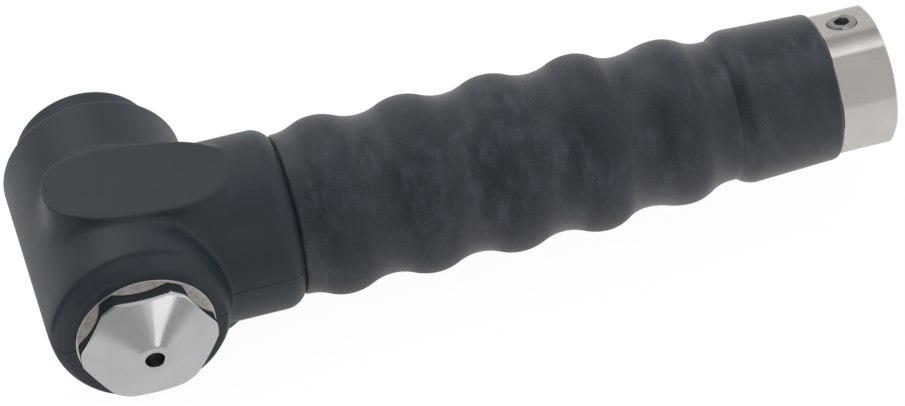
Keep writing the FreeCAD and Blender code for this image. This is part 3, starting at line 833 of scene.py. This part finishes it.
def nozzleMesh():
    size = nozzleSizes
    angles, outline = hexagonOutline(size["acrossFlats"], size["cornerRadius"], size["soften"])
    back, front, tip = size["flangeBack"], size["flangeFront"], size["tip"]
    thread, bore, orifice = size["threadRadius"], size["boreRadius"], size["orificeRadius"]
    rate = (size["cornerFront"] - tip) / (size["cornerRadius"] - size["tipRadius"])
    threadEnd = back + size["threadLength"]
    throat = tip + size["orificeLength"]
    path = [(threadEnd, bore), (threadEnd, thread - size["threadEdge"]),
            (threadEnd - size["threadEdge"], thread), (back, thread), (back, size["flangeRadius"])]
    path += roundedPath([
        (back, size["flangeRadius"], 0), (front, size["flangeRadius"], size["flangeEdge"]),
        (front, 0, 0)], 5)[1:-1]
    path += [(front, outline + size["rootWidth"]), (front - size["rootHeight"], outline)]
    edge = size["cornerFront"] - (size["cornerRadius"] - outline) * rate
    path += [(edge + size["edgeBack"], outline),
             (edge + size["edgeFront"], outline - size["edgeFront"])]
    for share in (0.012, 0.05, 0.2, 0.4, 0.6, 0.8, 0.95, 1.0):
        out = outline + (size["tipRadius"] - outline) * share
        path.append((size["cornerFront"] - (size["cornerRadius"] - out) * rate, out))
    path += [(tip, size["tipRadius"] - size["tipEdge"]), (tip, orifice + size["orificeEdge"]),
             (tip + size["orificeEdge"], orifice), (throat, orifice), (throat + bore - orifice, bore)]
    return spun("nozzle", path, headPoint, ahead, above, angles, True)


nozzle = addPiece("nozzle_tip", nozzleMesh())
giveFinish(nozzle, "nozzle_chrome", "handle", "nozzle")
nozzle.data.materials.append(finishes["nozzle_flange"])
flangeFace = headPoint.y + (nozzleSizes["flangeFront"] - 0.15) * mm
for face in nozzle.data.polygons:
    if face.center.y > flangeFace and abs(face.normal.y) > 0.95:
        face.material_index = 1
print("nozzle", len(nozzle.data.polygons))


# Hose fitting and its clamping screw

fittingSizes = {
    "acrossFlats": 27.0, "cornerRadius": 14.4, "tilt": 13.0, "soften": 0.16,
    "chamfer": 1.4, "chamferSteps": 8, "endEdge": 0.2, "startEdge": 0.1,
    "boreRadius": 8.0, "boreDepth": 20.0, "boreEdge": 0.4, "washerRadius": 7.6, "socketFace": 22.2,
    "tubeRadius": 7.0, "bodyRadius": 12.45, "bodyEdge": 0.4,
    "screwPlace": 6.4, "screwHole": 3.0, "screwSink": 3.35,
    "holeStart": 2.0, "holeEnd": 1.0,      # how far the hole's cutter reaches past bore and flat
}
screwSizes = {
    "radius": 2.95, "proud": 0.3, "length": 5.1, "bevel": 0.5, "round": 0.15,
    "point": 0.5, "pointRadius": 1.0, "cupEdge": 0.3,
    "key": 3.0, "keyDepth": 1.7, "keyEdge": 0.14, "keyPoint": 0.4,
    "keyCorner": 0.02, "keySoften": 0.06, "keySteps": 8,
}
tilt = math.radians(fittingSizes["tilt"])
flatOut = Vector((0, math.sin(tilt), math.cos(tilt)))
screwPoint = mouthPoint - across * (fittingSizes["screwPlace"] * mm)


def fittingMesh():
    size = fittingSizes
    angles, outline = hexagonOutline(size["acrossFlats"], size["cornerRadius"], size["soften"])
    start = (fittingLow.x - mouthPoint.x) / mm
    hexStart = (gripHigh.x - mouthPoint.x) / mm
    body, bore, chamfer = size["bodyRadius"], size["boreRadius"], size["chamfer"]
    path = [(start, size["tubeRadius"]), (start, body - size["bodyEdge"]),
            (start + size["bodyEdge"], body), (hexStart, body),
            (hexStart, outline - size["startEdge"]), (hexStart + size["startEdge"], outline),
            (-chamfer, outline)]
    for share in np.linspace(0, 1, size["chamferSteps"] + 1):
        cone = size["cornerRadius"] - chamfer * share
        path.append((-chamfer / 2 * (1 - share), np.minimum(outline, cone)))
    path += [(0, size["cornerRadius"] - chamfer - size["endEdge"]), (0, bore + size["boreEdge"]),
             (-size["boreEdge"], bore), (-size["boreDepth"], bore),
             (-size["boreDepth"], size["washerRadius"]), (-size["socketFace"], size["washerRadius"]),
             (-size["socketFace"], size["tubeRadius"])]
    return spun("fitting", path, mouthPoint, across, flatOut, angles, True)


def screwHole():
    size = fittingSizes
    flat, hole, sink = size["acrossFlats"] / 2, size["screwHole"], size["screwSink"]
    start, end = size["boreRadius"] - size["holeStart"], flat + size["holeEnd"]
    path = [(start, 0), (start, hole), (flat - (sink - hole), hole), (end, sink + size["holeEnd"]),
            (end, 0)]
    return addPiece("screwHole", turned("screwHole", path, screwPoint, flatOut, across, 96))


def clampScrewMesh():
    size = screwSizes
    angles, key = keyOutline(size)
    radius, bevel = size["radius"], size["bevel"]
    top = fittingSizes["acrossFlats"] / 2 + size["proud"]
    foot, tip = top - size["length"], radius - bevel
    path = [(foot + size["point"], size["pointRadius"]), (foot, tip - size["cupEdge"]), (foot, tip),
            (foot + bevel, radius)]
    path += roundedPath([(foot + bevel, radius, 0), (top - bevel, radius, size["round"]),
                         (top, tip, size["round"]), (top, 0, 0)], 4)[1:-1]
    path += keySocket(size, key, top, -1)
    return spun("clampScrew", path, screwPoint, flatOut, across, angles)


fitting = addPiece("hose_fitting", fittingMesh())
carve(fitting, screwHole())
fitting.data = tidied(fitting.data)
giveFinish(fitting, "fitting_steel", "handle", "inlet_fitting")
clampScrew = addPiece("clamp_screw", clampScrewMesh())
giveFinish(clampScrew, "screw_steel", "grub_screw", "grub_screw")
print("fitting", len(fitting.data.polygons), "clamping screw", len(clampScrew.data.polygons))


# Thumb button

buttonSizes = {
    "back": 34.8, "radius": 14.5, "round": 1.5, "dish": 0.45, "dishRadius": 11.0, "dishSteps": 10,
    "inside": 32.3, "insideRound": 0.6, "wallRadius": 12.3, "skirtEnd": 18.5, "lipRadius": 15.8,
    "lipEnd": 20.6, "edge": 0.2, "lipRound": 0.3, "bossRadius": 6.35, "bossEnd": 27.3,
    "stemRadius": 3.0, "stemRound": 0.1, "stemEnd": 31.5, "pinRadius": 0.5,
}


def buttonMesh():
    size = buttonSizes
    back, lipEnd, skirtEnd, inside = size["back"], size["lipEnd"], size["skirtEnd"], size["inside"]
    lip, wall, boss, edge = size["lipRadius"], size["wallRadius"], size["bossRadius"], size["edge"]
    path = []
    for step in range(1, size["dishSteps"] + 1):
        share = step / size["dishSteps"]
        dish = size["dish"] * math.cos(share * math.pi / 2) ** 2
        path.append((back - dish, size["dishRadius"] * share))
    path += roundedPath([
        (back, size["dishRadius"], 0), (back, size["radius"], size["round"]),
        (lipEnd, size["radius"], edge), (lipEnd, lip, size["lipRound"]),
        (skirtEnd, lip, size["lipRound"]), (skirtEnd, wall, edge),
        (inside, wall, size["insideRound"]), (inside, boss, size["lipRound"]),
        (size["bossEnd"], boss, edge), (size["bossEnd"], size["stemRadius"], size["stemRound"]),
        (size["stemEnd"], size["stemRadius"], 0), (size["stemEnd"], size["pinRadius"], 0)], 8)[1:]
    return turned("button", path, headPoint, ahead, across)


button = addPiece("thumb_button", buttonMesh())
giveFinish(button, "button_plastic", "button", "push_button")


# Return spring: a wire swept along a helix

springSizes = {"Turns": 5.5, "Radius": 8.0, "Wire": 1.3, "Seat": 17.8, "Top": 32.3,
               "Steps": 48, "Sides": 16}


def springTree():
    tree, size = newTree("springShape", springSizes)
    height = size["Top"] - size["Seat"] - size["Wire"]
    helix = addNode(tree, "GeometryNodeCurveSpiral",
                    {"Resolution": size["Steps"], "Rotations": size["Turns"],
                     "Start Radius": size["Radius"] * mm, "End Radius": size["Radius"] * mm,
                     "Height": height * mm})
    section = addNode(tree, "GeometryNodeCurvePrimitiveCircle",
                      {"Resolution": size["Sides"], "Radius": size["Wire"] * (mm / 2)})
    wire = addNode(tree, "GeometryNodeCurveToMesh",
                   {"Curve": helix.outputs[0], "Profile Curve": section.outputs[0], "Fill Caps": True})
    start = addNode(tree, "ShaderNodeCombineXYZ",
                    {0: headPoint.x, 1: (size["Seat"] + size["Wire"] / 2) * mm})
    placed = addNode(tree, "GeometryNodeTransform",
                     {"Geometry": wire.outputs[0], "Translation": start.outputs[0],
                      "Rotation": (-math.pi / 2, 0, 0)})
    endTree(tree, placed.outputs[0], finishes["spring_steel"])
    return tree


spring = runTree("button_spring", springTree(), springSizes)
spring.data = tidied(spring.data)
giveFinish(spring, "spring_steel", "handle", "return_spring")
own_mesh(spring)


# Casing screws, seen from below

screws = atCasingScrews("casing_screws", casingScrewMesh())
screws.data = tidied(screws.data)
giveFinish(screws, "screw_steel", "handle", "shell_screws")
print("casing screws", len(screws.data.polygons))


# World, floor, cards, lamp and camera: lengths in metres, angles in degrees

worldLook = {
    # light is what falls on the object; shine less the shades is what it mirrors
    "light": 0.6, "shine": 0.85, "darkest": 0.2,
    "topShade": 0.35, "topHeight": (0.72, 0.93),
    "backShade": 0.27, "backHeight": (0.35, 0.6), "backDepth": (0.1, 0.5),
    "leftShade": 0.45, "leftHeight": (0.08, 0.3), "leftSide": (0.35, 0.6),
    "frontShade": 0.08, "frontDepth": (-0.2, 0.4), "cornerShade": 0.55, "cornerSide": (0.0, 0.45),
}


def lightRays(tree):
    # 1 for rays that see the background itself: from the camera or through glass, and mirrored ones
    path = tree.nodes.new("ShaderNodeLightPath")
    camera, mirror, glass = (Number(tree, path.outputs[kind]) for kind in
                             ("Is Camera Ray", "Is Glossy Ray", "Is Transmission Ray"))
    return camera.atLeast(glass), mirror


def makeWorld():
    look = worldLook
    world = bpy.data.worlds.new("studio")
    world.use_nodes = True
    tree = world.node_tree
    seen, mirror = lightRays(tree)
    sky = addNode(tree, "ShaderNodeTexCoord").outputs["Generated"]
    side, forward, height = split(tree, sky)
    back = height.between(*look["backHeight"]) * forward.between(*look["backDepth"])
    left = height.between(*look["leftHeight"]) * (-side).between(*look["leftSide"])
    front = (-forward).between(*look["frontDepth"])
    corner = front * (-side).between(*look["cornerSide"])
    shade = (height.between(*look["topHeight"]) * look["topShade"] + back * look["backShade"]
             + left * look["leftShade"] + corner * look["cornerShade"] + front * look["frontShade"])
    shine = (-shade + look["shine"]).atLeast(look["darkest"])
    other = -(seen.atLeast(mirror)) + 1
    background = tree.nodes["Background"]
    feed(tree, background.inputs["Strength"], seen + mirror * shine + other * look["light"])
    background.inputs["Color"].default_value = colour(1, 1, 1)
    bpy.context.scene.world = world


def stagePiece(name, finish, points, faces=((0, 1, 2, 3),)):
    # a piece of the stage, and the nodes of its material
    mesh = bpy.data.meshes.new(name)
    mesh.from_pydata(points, [], faces)
    material = bpy.data.materials.new(finish)
    material.use_nodes = True
    mesh.materials.append(material)
    piece = addPiece(name, mesh)
    return piece, material.node_tree


floorLook = {
    # distances from the nozzle's foot on the floor
    "size": 3.0, "white": 0.96, "shine": 1.0, "paper": 0.8, "paperRough": 0.9, "dim": 0.08,
    "nearShade": 0.26, "nearReach": (0.04, 0.12),
    "frontShade": 0.54, "frontDepth": (0.0, 0.07), "frontSide": (0.15, 0.08),
    "underShade": 0.4, "underStart": (0.004, 0.016), "underEnd": (0.045, 0.022),
    "underSide": (0.012, -0.006),
}


def makeFloor():
    look = floorLook
    size = look["size"]
    corners = [(-size, -size), (size, -size), (size, size), (-size, size)]
    tree = stagePiece("floor", "floorPaper", [(*corner, floorHeight) for corner in corners])[1]
    seen, mirror = lightRays(tree)
    paper = tree.nodes["Principled BSDF"]
    paper.inputs["Roughness"].default_value = look["paperRough"]
    paper.inputs["Base Color"].default_value = colour(*(look["paper"],) * 3)
    paper.inputs["Specular IOR Level"].default_value = 0.0
    away = addNode(tree, "ShaderNodeVectorMath",
                   {0: addNode(tree, "ShaderNodeTexCoord").outputs["Object"],
                    1: (headPoint.x, nozzleLow.y, floorHeight)}, operation="SUBTRACT")
    far = addNode(tree, "ShaderNodeVectorMath", {0: away.outputs[0]}, operation="LENGTH")
    far = Number(tree, far.outputs["Value"]).between(*look["nearReach"])
    side, forward, _ = split(tree, away.outputs[0])
    front = (-forward).between(*look["frontDepth"]) * side.between(*look["frontSide"])
    under = forward.between(*look["underStart"]) * forward.between(*look["underEnd"])
    under = under * side.between(*look["underSide"])
    # painted shade in the floor's mirrored glow: shadow near the nozzle's foot and under the head's
    # left side, and darker in front of the nozzle
    shade = ((-far + 1) * look["nearShade"] + far * front * look["frontShade"]
             + under * look["underShade"])
    glow = addNode(tree, "ShaderNodeEmission",
                   {"Strength": mirror * (-shade + look["shine"]) + seen * look["white"]})
    dim = addNode(tree, "ShaderNodeBsdfDiffuse", {"Color": colour(*(look["dim"],) * 3)})
    white = addNode(tree, "ShaderNodeAddShader", {0: dim.outputs[0], 1: glow.outputs[0]})
    pick = addNode(tree, "ShaderNodeMixShader",
                   {0: seen.atLeast(mirror), 1: paper.outputs[0], 2: white.outputs[0]})
    shiny = addNode(tree, "ShaderNodeMixShader",
                    {0: mirror, 1: pick.outputs[0], 2: glow.outputs[0]})
    tree.links.new(shiny.outputs[0], tree.nodes["Material Output"].inputs["Surface"])


def reflectedOnly(piece):
    for rays in ("camera", "diffuse", "shadow", "transmission"):
        setattr(piece, "visible_" + rays, False)


def addCard(name, points, strength):
    # a glowing card, seen only in reflections
    card, tree = stagePiece(name, name, points)
    glow = addNode(tree, "ShaderNodeEmission", {"Strength": lightRays(tree)[1] * strength})
    tree.links.new(glow.outputs[0], tree.nodes["Material Output"].inputs["Surface"])
    reflectedOnly(card)


nozzleCard = {"turns": (10.5, 27.0), "far": 0.17, "low": -0.012, "high": 0.02, "glow": 1.32}
fittingCard = {"x": (-0.03, 0.17), "y": (-0.13, 0.04), "z": 0.3, "glow": 1.6}


def makeCards():
    # one before the nozzle, one over the fitting
    size = nozzleCard
    left, right = (Vector((math.sin(angle), -math.cos(angle), 0)) * size["far"]
                   for angle in (math.radians(turn) for turn in size["turns"]))
    middle = Vector((headPoint.x, nozzleLow.y, 0))
    points = [middle + left + above * size["low"], middle + left + above * size["high"],
              middle + right + above * size["high"], middle + right + above * size["low"]]
    addCard("nozzleCard", points, size["glow"])
    size = fittingCard
    (x, xEnd), (y, yEnd), z = size["x"], size["y"], size["z"]
    addCard("fittingCard", [(x, y, z), (xEnd, y, z), (xEnd, yEnd, z), (x, yEnd, z)], size["glow"])


flagSizes = {"turns": (-85.0, 35.0), "radii": (0.01885, 0.0235), "place": -0.0189, "steps": 32,
             "taper": 0.9, "taperPower": 4}


def makeFlag():
    # a black flag behind the head's crown, seen only in reflections, which paints a dark reflection
    # into the nozzle's side walls
    size = flagSizes
    points = []
    inner, outer = size["radii"]
    for share in np.linspace(-1, 1, size["steps"]):
        turn = math.radians(np.interp(share, (-1, 1), size["turns"]))
        for out in (inner, outer - (outer - inner) * size["taper"] * share ** size["taperPower"]):
            points.append((headPoint.x + out * math.sin(turn), headPoint.y + size["place"],
                           out * math.cos(turn)))
    faces = [(place, place + 1, place + 3, place + 2) for place in range(0, len(points) - 2, 2)]
    flag, tree = stagePiece("flag", "flagCloth", points, faces)
    cloth = tree.nodes["Principled BSDF"]
    cloth.inputs["Base Color"].default_value = colour(0.01, 0.01, 0.01)
    cloth.inputs["Roughness"].default_value = 1.0
    cloth.inputs["Specular IOR Level"].default_value = 0.0
    reflectedOnly(flag)


lampSizes = {"place": (-0.45, 0.6, 1.0), "size": 1.0, "power": 3.25}


def makeLamp():
    lamp = bpy.data.lights.new("keyLamp", "AREA")
    lamp.energy = lampSizes["power"]
    lamp.size = lampSizes["size"]
    holder = bpy.data.objects.new("keyLamp", lamp)
    bpy.context.scene.collection.objects.link(holder)
    place = Vector(lampSizes["place"])
    holder.location = place
    holder.rotation_euler = (headPoint - place).to_track_quat("-Z", "Y").to_euler()
    holder.visible_camera = False


cameraSizes = {
    # millimetres
    "target": (-93.18, -7.93, 0.0), "distance": 803.46, "azimuth": -12.891, "elevation": 43.448,
    "roll": -4.70, "lens": 159.1,
}


def makeCamera():
    turn, lift = math.radians(cameraSizes["azimuth"]), math.radians(cameraSizes["elevation"])
    roll = math.radians(cameraSizes["roll"])
    back = Vector((math.sin(turn) * math.cos(lift), -math.cos(turn) * math.cos(lift), math.sin(lift)))
    level = Vector((math.cos(turn), math.sin(turn), 0))
    right = level * math.cos(roll) + back.cross(level) * math.sin(roll)
    lens = bpy.data.cameras.new("camera")
    lens.lens = cameraSizes["lens"]
    lens.clip_end = 10
    camera = bpy.data.objects.new("camera", lens)
    bpy.context.scene.collection.objects.link(camera)
    place = (Vector(cameraSizes["target"]) + back * cameraSizes["distance"]) * mm
    facing = Matrix((right, back.cross(right), back)).transposed().to_4x4()
    camera.matrix_world = Matrix.Translation(place) @ facing
    bpy.context.scene.camera = camera


makeWorld()
makeFloor()
makeCards()
makeFlag()
makeLamp()
makeCamera()
bpy.context.scene.view_settings.view_transform = "Standard"
print("studio set")
